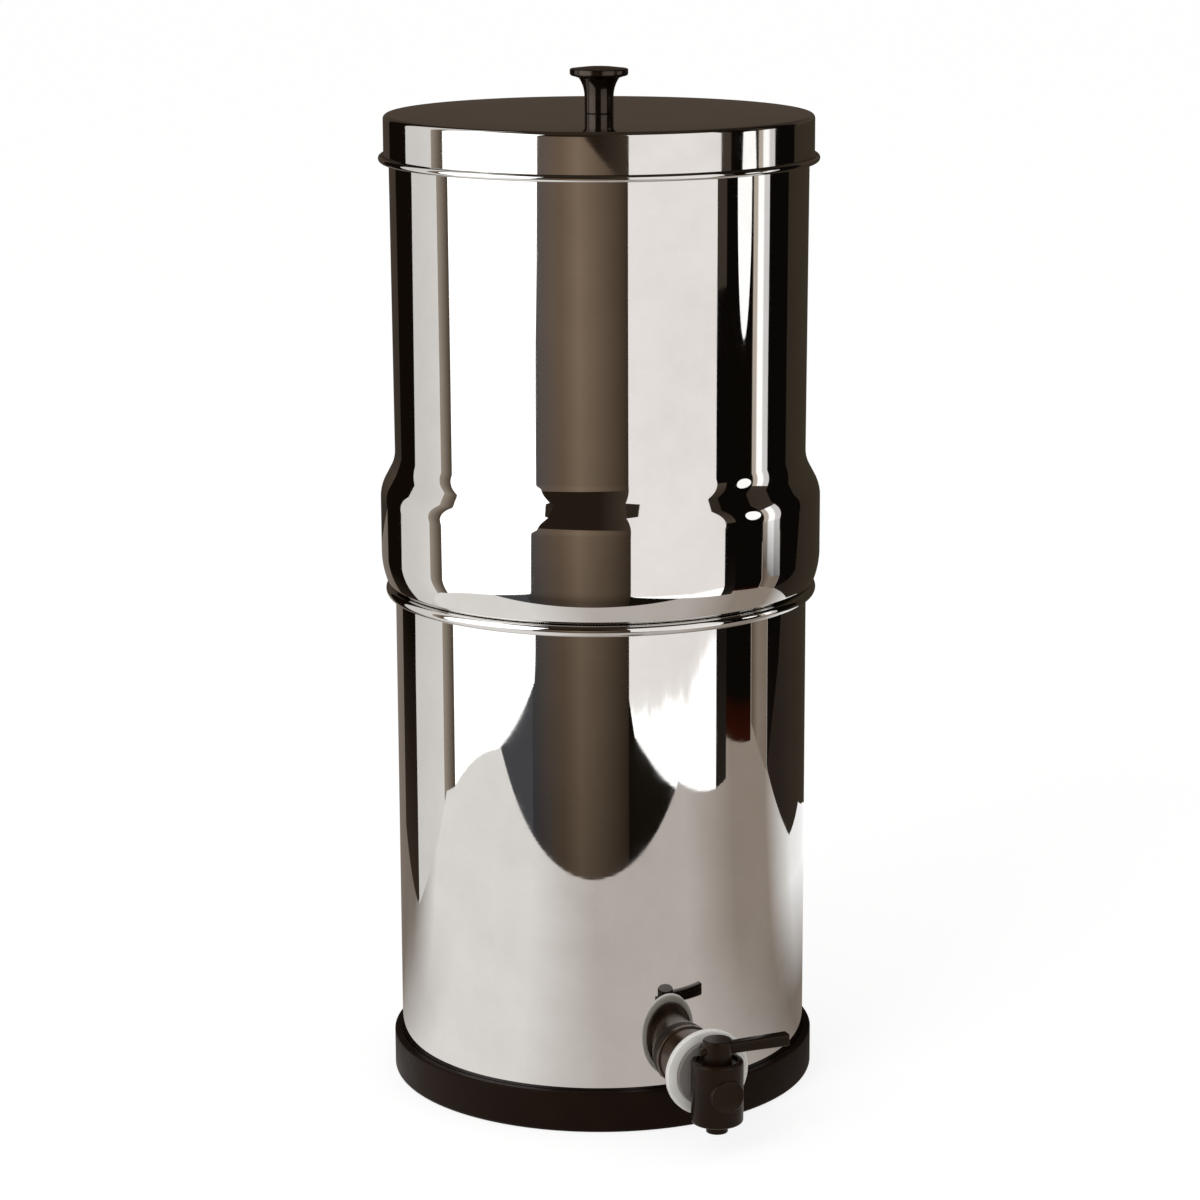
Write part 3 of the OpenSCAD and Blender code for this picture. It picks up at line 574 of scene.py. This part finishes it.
# Tap body: upright barrel with the valve's bore, flange, shank, spout and a bare round boss with a soft rim.
# The barrel's back is cut off flat where it meets the washer.
spout_z = BODY_Z0 - SPOUT_H
recess_z = BODY_Z1 - RECESS_DEPTH
bore_floor = BODY_Z0 + BODY_FLOOR_T
body_top_edge = BODY_Z1 - BODY_EDGE_R
barrel = placed(turned((SPOUT_BORE_R, spout_z), [
    (SPOUT_R - EDGE_R, spout_z), (SPOUT_R - EDGE_R, spout_z + EDGE_R, 90), (SPOUT_R, BODY_Z0),
    (BODY_R - BODY_FOOT_R, BODY_Z0), (BODY_R - BODY_FOOT_R, BODY_Z0 + BODY_FOOT_R, 90),
    (BODY_R, body_top_edge), (BODY_R - BODY_EDGE_R, body_top_edge, 90),
    (RECESS_R + EDGE_R, BODY_Z1), (RECESS_R, BODY_Z1 - EDGE_R), (RECESS_R, recess_z), (BORE_R, recess_z),
    (BORE_R, bore_floor), (SPOUT_BORE_R, bore_floor), (SPOUT_BORE_R, spout_z)]), ON_BODY)
bmesh.ops.bisect_plane(
    barrel, geom=barrel.verts[:] + barrel.edges[:] + barrel.faces[:], dist=1e-7,
    plane_co=(0, -WASHER_OUT * MM, 0), plane_no=(0, 1, 0), clear_outer=True)
bmesh.ops.holes_fill(barrel, edges=[e for e in barrel.edges if len(e.link_faces) == 1], sides=0)
flange = placed(turned((WATERWAY_R, SHANK_IN), [
    (SHANK_R - SHANK_EDGE, SHANK_IN), (SHANK_R, SHANK_IN + SHANK_EDGE), (SHANK_R, WASHER_OUT),
    (BODY_FLANGE_R, WASHER_OUT), (BODY_FLANGE_R, FLANGE_OUT - FLANGE_EDGE_R),
    (BODY_FLANGE_R - FLANGE_EDGE_R, FLANGE_OUT - FLANGE_EDGE_R, 90), (WATERWAY_R, FLANGE_OUT),
    (WATERWAY_R, SHANK_IN)]), ON_SHANK)
# The retainer's recess runs on upwards through the flange, which makes room for the lever's ear as it turns
past_flange = TAP_Z + BODY_H
flange = cut(flange, placed(turned((0, recess_z), [
    (RECESS_R, recess_z), (RECESS_R, past_flange), (0, past_flange)]), ON_BODY))
# Flange faces out past the washer take the grey finish with the painted sheen; the shank keeps the plain one.
for face in flange.faces:
    face.material_index = int(face.calc_center_median().y < -WASHER_OUT * MM)
boss_out = BODY_AT + BODY_R + BOSS_OUT
boss = placed(turned((0, BOSS_ROOT), [
    (BOSS_R, BOSS_ROOT), (BOSS_R, boss_out - BOSS_EDGE_R), (BOSS_R - BOSS_EDGE_R, boss_out - BOSS_EDGE_R, 90),
    (BOSS_R - BOSS_RIM_W, boss_out - BOSS_RIM_FALL), (BOSS_R - BOSS_RIM_W - BOSS_STEP_W, boss_out - BOSS_STEP),
    (0, boss_out - BOSS_DISH)]),
    Matrix.Translation((0, 0, -BOSS_DROP * MM)) @ ON_SHANK)
finished("tap_body_moulded", merged([barrel, flange, boss]),
         "lower_tank", [tap_nylon, flange_painted_sheen_nylon], ["tap_body"])

# Lever: round cap, arm that grows higher towards its tip, and a short ear
cap_top_edge = CAP_Z + CAP_H - CAP_EDGE_R
cap = placed(turned((0, CAP_Z), [
    (CAP_R, CAP_Z), (CAP_R, cap_top_edge), (CAP_R - CAP_EDGE_R, cap_top_edge, 90), (0, CAP_Z + CAP_H)]),
    ON_BODY)
arm = bmesh.new()
bmesh.ops.create_cube(arm, size=1.0)
for v in arm.verts:
    tip = v.co.x > 0
    v.co = MM * Vector((LEVER_TIP if tip else LEVER_ROOT, -BODY_AT + v.co.y * LEVER_W,
                        LEVER_MID_Z + v.co.z * (LEVER_TIP_H if tip else LEVER_ROOT_H)))
bmesh.ops.recalc_face_normals(arm, faces=arm.faces[:])
ear = bmesh.new()
bmesh.ops.create_cube(ear, size=1.0)
for v in ear.verts:
    v.co = MM * Vector((EAR_X + v.co.x * EAR_L, -BODY_AT + v.co.y * EAR_W, EAR_MID_Z + v.co.z * EAR_H))
for bar in (arm, ear):
    bmesh.ops.bevel(bar, geom=bar.edges[:], offset=LEVER_EDGE_R * MM, offset_type="OFFSET", segments=3,
                    profile=0.5, affect="EDGES", material=-1)
finished("lever_moulded", merged([cap, arm, ear]), "tap_valve", [tap_nylon], ["tap_lever"])

# CAD nodes whose shape is right keep it and get their finish
for names, finish in [
        (["wall_gasket", "plug_o_rings", "filter_seals"], seal_rubber),
        (["plug_retainer", "lock_nut", "tap_plug"], tap_nylon),
        (["inner_washer"], washer_silicone),
        (["filter_base_left", "filter_base_right", "filter_cap_left", "filter_cap_right", "wing_nuts"],
         filter_polypropylene),
        (["filter_block_left", "filter_block_right"], carbon),
        (["knob_washer", "knob_screw"], screw_steel)]:
    for name in names:
        nodes[name].data.materials.clear()
        nodes[name].data.materials.append(finish)


# ---------------------------------------------------------------- studio

VIEW_TURN = math.radians(-22.5)
TO_VIEW = Matrix.Rotation(VIEW_TURN, 3, "Z")


def lit_card(name, stops, strength=1.0, direction=(0, 0, 1), span=(0.0, 1.0), mottle=0.0, dark_low=1.0,
             low_span=(-0.2, 0.2)):
    """A lit card's finish: its colour runs along a direction, between two places in metres, and may be uneven.
    X runs to the right and Z up, as the photograph's camera sees it. Its lower part may be darker."""
    material, tree, place = new_finish(name)
    along = add(tree, "ShaderNodeVectorMath", {0: place, 1: TO_VIEW @ Vector(direction)}, operation="DOT_PRODUCT")
    cloud = add(tree, "ShaderNodeTexNoise", {"Vector": place, "Scale": 9.0, "Detail": 5.0, "Roughness": 0.6})
    shift = add(tree, "ShaderNodeMath", {
        0: cloud.outputs["Fac"], 1: mottle, 2: along.outputs["Value"]}, operation="MULTIPLY_ADD")
    share = add(tree, "ShaderNodeMapRange", {"Value": shift.outputs[0], "From Min": span[0], "From Max": span[1]})
    shade = add(tree, "ShaderNodeValToRGB", {"Fac": share.outputs[0]}, stops=stops)
    split = add(tree, "ShaderNodeSeparateXYZ", {"Vector": place})
    level = add(tree, "ShaderNodeMapRange", {
        "Value": split.outputs["Z"], "From Min": low_span[0], "From Max": low_span[1],
        "To Min": strength * dark_low, "To Max": strength})
    close_finish(tree, add(tree, "ShaderNodeEmission", {"Color": shade.outputs[0], "Strength": level.outputs[0]}))
    material.cycles.emission_sampling = "NONE"
    return material


def reflected_only(name, bm, finish):
    """A studio piece that only shows in what reflects it, turned to the photograph's camera."""
    bmesh.ops.rotate(bm, cent=(0, 0, 0), matrix=TO_VIEW, verts=bm.verts[:])
    mesh = bpy.data.meshes.new(name)
    bm.to_mesh(mesh)
    bm.free()
    mesh.materials.append(finish)
    piece = bpy.data.objects.new(name, mesh)
    bpy.context.scene.collection.objects.link(piece)
    piece.visible_camera = False
    piece.visible_diffuse = False
    piece.visible_transmission = False
    piece.visible_shadow = False


def card(name, foot, low, high, finish):
    """An upright card over a line on the floor. The line's points are metres right of and behind the filter as
    the photograph's camera sees it, and a point may have a low and a high edge of its own."""
    bm = bmesh.new()
    posts = []
    for x, y, *own in foot:
        posts.append([bm.verts.new((x, y, z)) for z in (own or (low, high))])
    for one, two in zip(posts, posts[1:]):
        bm.faces.new((one[0], two[0], two[1], one[1]))
    reflected_only(name, bm, finish)


def bowed(start, end, bow, parts=6):
    """A foot line from start to end that bows out to its right by a given depth."""
    start, end = Vector(start), Vector(end)
    side = Vector((end.y - start.y, start.x - end.x)).normalized()
    return [tuple(start.lerp(end, i / parts) + side * bow * 4 * i * (parts - i) / parts ** 2)
            for i in range(parts + 1)]


# White panel on the left: bowed at its rear, it sinks past the table's front edge, and its near edge leans
PANEL_TOP, FLAG_TOP, GAP_TOP = 1.19, 1.5, 1.9
card("panel_left", bowed((-0.62, -0.06), (-0.61, -0.42), 0.045) + [
    (-0.6, -0.84, -0.025, PANEL_TOP), (-0.6, -0.86, -0.01, PANEL_TOP), (-0.6, -0.9, 0.2, PANEL_TOP),
    (-0.6, -0.99, 0.35, PANEL_TOP), (-0.6, -1.04, 1.0, PANEL_TOP)],
    0, PANEL_TOP, lit_card("white_panel", [(0, "#ffffff"), (1, "#ffffff")], strength=1.9))
card("gap_left", [(-0.62, -0.065), (-0.605, 0.005), (-0.575, 0.02)], -0.01, GAP_TOP,
     lit_card("brown_gap", [(0, "#a89c8f"), (0.6, "#7d7165"), (1, "#54493d")], direction=(0, 1, 0),
              span=(0.015, -0.06)))
card("panel_left_rear", [
    (-0.575, 0.02), (-0.355, 0.12), (-0.34, 0.125, 0.0, 0.38), (-0.315, 0.135, 0.0, 0.13)], -0.01, FLAG_TOP,
    lit_card("pale_panel", [(0, "#f7f4f1"), (1, "#e9e7e4")], direction=(1, 0, 0), span=(-0.6, -0.32)))
card("flag_left_rear", [(-0.36, 0.13), (-0.31, 0.145), (-0.32, 0.34)], 0.0, FLAG_TOP,
     lit_card("black_flag", [(0, "#3a3028"), (1, "#140e08")], span=(0.0, 0.15)))

# Pale panel on the right: white light falls across its lower part, and its top slopes
card("panel_right", [
    (0.22, -0.86, 0.0, 0.96), (0.25, -0.81, -0.015, 0.95), (0.32, -0.7, -0.01, 0.92), (0.565, -0.3, 0.0, 0.8)],
    0, 1, lit_card("pale_grey_panel", [(0.35, "#ffffff"), (0.62, "#dedbd9"), (1, "#d9d5d3")],
             strength=1.62, direction=(-0.312, 0, 1), span=(-0.068, -0.036), mottle=0.055))

# Dim backdrop behind the camera, black above, slate on its left and black on its right
card("backdrop_room", [(-0.8, -1.05, -0.6, 0.47), (0.26, -1.02, -0.6, 0.375)], 0, 1,
     lit_card("brown_backdrop", [(0, "#5d5c60"), (0.4, "#766453"), (0.57, "#8d7a67"), (1, "#43372c")],
              direction=(1, 0, 0), span=(-0.80, 0.26), dark_low=0.42))
card("backdrop_top", [(-0.82, -1.07), (0.28, -1.04)], 0.2, 1.3,
     lit_card("black_brown_backdrop", [(0.75, "#2a2119"), (1, "#463c33")], direction=(1, 0, 0),
              span=(-0.8, 0.26)))
card("backdrop_low_left", [(-1.5, -0.5), (-0.80, -1.06)], -0.9, 0.2,
     lit_card("slate_backdrop", [(0, "#4d4e52"), (1, "#515155")], span=(-0.4, 0.0)))
card("backdrop_low_right", [(0.26, -1.03), (1.3, -0.6)], -0.9, 0.2,
     lit_card("black_backdrop", [(0, "#18130e"), (1, "#1b1a19")]))

# Right side: the panel's edge, a black flag with a russet foot, a white strip and dark cards behind it
card("panel_edge", [(0.566, -0.3), (0.611, -0.24)], -0.005, 0.3,
     lit_card("dark_edge", [(0, "#2c2723"), (1, "#0e0b09")], span=(0.0, 0.15)))
card("flag_right", [(0.705, -0.275), (0.725, -0.045)], 0.0, FLAG_TOP,
     lit_card("black_flag_russet_foot", [(0, "#34130a"), (0.4, "#280e06"), (0.6, "#0e0b08")],
              span=(0.0, 0.05)))
card("strip_right_foot", [(0.77, -0.035), (0.63, 0.1)], 0.0, 0.105,
     lit_card("white_strip_in_shade", [(0, "#64564a"), (0.45, "#938478"), (1, "#8a7c70")],
              direction=(-1, 0, 0), span=(-0.77, -0.63)))
card("strip_right", [(0.77, -0.035), (0.63, 0.1)], 0.105, 0.465,
     lit_card("white_strip", [(0.26, "#ada398"), (0.34, "#ffffff"), (0.64, "#ffffff"), (0.72, "#c8c6c6")],
              strength=1.5, direction=(-1, 0, 0), span=(-0.77, -0.63), dark_low=0.22, low_span=(0.105, 0.18)))
card("flag_right_rear", [
    (0.63, 0.105, 0.0, FLAG_TOP), (0.51, 0.175, 0.09, FLAG_TOP), (0.435, 0.22, 0.2, FLAG_TOP),
    (0.42, 0.23, 0.45, FLAG_TOP)], 0, FLAG_TOP,
    lit_card("black_brown_flag", [(0, "#1a1411"), (0.5, "#0e0b09")], span=(0.0, 0.2)))
card("card_rear_right", [
    (0.63, 0.11), (0.39, 0.245), (0.335, 0.38), (0.22, 0.43), (0.0, 0.47)], 0.0, 0.46,
    lit_card("dark_rear_card", [(0, "#2f2722"), (1, "#3d362c")], direction=(-1, 0, 0.3),
             span=(-0.5, -0.25)))

# Reflector of a lamp in front of the right flag, an oval that stands on its end
bm = bmesh.new()
bmesh.ops.create_circle(bm, cap_ends=True, segments=48, radius=1.0)
bmesh.ops.transform(bm, verts=bm.verts[:], matrix=(
    Matrix.Translation((0.62, -0.113, 0.365)) @ Matrix.Rotation(math.radians(90), 4, "Y")
    @ Matrix.Diagonal((0.095, 0.055, 1, 1))))
reflected_only("lamp_reflector", bm, lit_card("lamp_white", [(0, "#ffffff"), (1, "#ffffff")], strength=1.5))

# Table top, as the steel shows it. Its front edge lies half a metre in front of the filter. It is lit from the
# left, halfway lit in front, and in shade on the right and behind.
TABLE_LIT, TABLE_HALF, TABLE_SHADE = "#f5f2ef", "#c8c0bb", "#7d736a"
table_finish, tree, place = new_finish("pale_table_paper")
square = add(tree, "ShaderNodeMapping", {"Vector": place, "Rotation": (0, 0, math.radians(90) - VIEW_TURN)})
round_it = add(tree, "ShaderNodeTexGradient", {"Vector": square.outputs[0]}, gradient_type="RADIAL")
# Within 0.17 m of the filter the near tones hold, and they keep its right side in shade: the filter's shadow on the
# table, painted in. By 0.37 m the far tones take over, which run to white at the rear right.
near = add(tree, "ShaderNodeValToRGB", {"Fac": round_it.outputs["Fac"]}, stops=[
    (0.13, TABLE_SHADE), (0.28, TABLE_LIT), (0.4, TABLE_LIT), (0.5, TABLE_HALF), (0.62, TABLE_HALF),
    (0.79, TABLE_SHADE)])
far = add(tree, "ShaderNodeValToRGB", {"Fac": round_it.outputs["Fac"]}, stops=[
    (0.17, TABLE_SHADE), (0.23, TABLE_LIT), (0.4, TABLE_LIT), (0.49, TABLE_HALF), (0.62, TABLE_HALF),
    (0.7, "#9b8f84"), (0.77, "#9b8f84"), (0.84, "#ffffff")])
reach = add(tree, "ShaderNodeVectorMath", {0: place}, operation="LENGTH")
share = add(tree, "ShaderNodeMapRange", {"Value": reach.outputs["Value"], "From Min": 0.17, "From Max": 0.37})
shade = add(tree, "ShaderNodeMixRGB", {"Fac": share.outputs[0], "Color1": near.outputs[0], "Color2": far.outputs[0]})
close_finish(tree, add(tree, "ShaderNodeEmission", {"Color": shade.outputs[0], "Strength": 1.08}))
table_finish.cycles.emission_sampling = "NONE"
bm = bmesh.new()
bm.faces.new([bm.verts.new(p) for p in [(-1.4, -0.37, 0), (1.4, -0.59, 0), (1.4, 1.2, 0), (-1.4, 1.2, 0)]])
reflected_only("table_top", bm, table_finish)

# Walls and ceiling of the dim room, as the steel shows them
bm = bmesh.new()
bmesh.ops.create_icosphere(bm, subdivisions=4, radius=6.0)
reflected_only("room", bm, lit_card(
    "dim_room", [(0.0, "#2b2622"), (0.33, "#50463d"), (0.8, "#362e26")],
    span=(-1.8, 5.4)))

# Pale floor: nearly white of itself, and it keeps the filter's shadow
floor_finish, tree, place = new_finish("pale_floor")
matt = add(tree, "ShaderNodeBsdfDiffuse", {"Color": linear("#e9e9e9")})
glow = add(tree, "ShaderNodeEmission", {"Color": (1, 1, 1, 1), "Strength": 0.80})
camera_sees = add(tree, "ShaderNodeLightPath").outputs["Is Camera Ray"]
dim = add(tree, "ShaderNodeBsdfDiffuse", {"Color": linear("#8c8c8c")})
lit = add(tree, "ShaderNodeAddShader", {0: dim.outputs[0], 1: glow.outputs[0]})
close_finish(tree, add(tree, "ShaderNodeMixShader", {0: camera_sees, 1: matt.outputs[0], 2: lit.outputs[0]}))
floor_finish.cycles.emission_sampling = "NONE"
bm = bmesh.new()
bmesh.ops.create_circle(bm, cap_ends=True, segments=64, radius=60.0)
mesh = bpy.data.meshes.new("floor")
bm.to_mesh(mesh)
bm.free()
mesh.materials.append(floor_finish)
floor = bpy.data.objects.new("floor", mesh)
bpy.context.scene.collection.objects.link(floor)
floor.visible_glossy = False

# World: white to the camera and in reflections, past the studio's cards, and soft light from all round
world = bpy.data.worlds.new("studio")
bpy.context.scene.world = world
world.use_nodes = True
tree = world.node_tree
tree.nodes.clear()
path = add(tree, "ShaderNodeLightPath")
soft = add(tree, "ShaderNodeBackground", {"Color": (1, 0.99, 0.98, 1), "Strength": 0.75})
white = add(tree, "ShaderNodeBackground", {"Color": (1, 1, 1, 1), "Strength": 1.0})
mirrored = add(tree, "ShaderNodeMath", {0: path.outputs["Is Glossy Ray"], 1: path.outputs["Is Transmission Ray"]},
               operation="MAXIMUM")
seen = add(tree, "ShaderNodeMath", {0: path.outputs["Is Camera Ray"], 1: mirrored.outputs[0]}, operation="MAXIMUM")
whole = add(tree, "ShaderNodeMixShader", {0: seen.outputs[0], 1: soft.outputs[0], 2: white.outputs[0]})
add(tree, "ShaderNodeOutputWorld", {"Surface": whole.outputs[0]})

lamp = bpy.data.lights.new("soft_lamp_left", "AREA")
lamp.size = 0.9
lamp.energy = 12.0
key = bpy.data.objects.new("soft_lamp_left", lamp)
bpy.context.scene.collection.objects.link(key)
key.location = (-1.4, -0.9, 1.3)
key.rotation_euler = (Vector((0, 0, 0.2)) - key.location).to_track_quat("-Z", "Y").to_euler()
key.visible_glossy = False

# Camera at the photograph's viewpoint. The photograph is a crop off its lens's centre, which the shift stands for.
CAMERA_AT = (-0.618, -1.492, 0.5858)
CAMERA_ASIDE, CAMERA_DOWN = 0.0184, 0.220       # radians off the filter's axis and below the level
lens = bpy.data.cameras.new("camera")
lens.sensor_width = 36.0
lens.lens = 106.8
lens.clip_start = 0.05
lens.shift_x = -0.0542
camera = bpy.data.objects.new("camera", lens)
bpy.context.scene.collection.objects.link(camera)
camera.matrix_world = (Matrix.Translation(CAMERA_AT) @ Matrix.Rotation(VIEW_TURN - CAMERA_ASIDE, 4, "Z")
                       @ Matrix.Rotation(math.radians(90) - CAMERA_DOWN, 4, "X"))
bpy.context.scene.camera = camera
bpy.context.scene.view_settings.view_transform = "Standard"
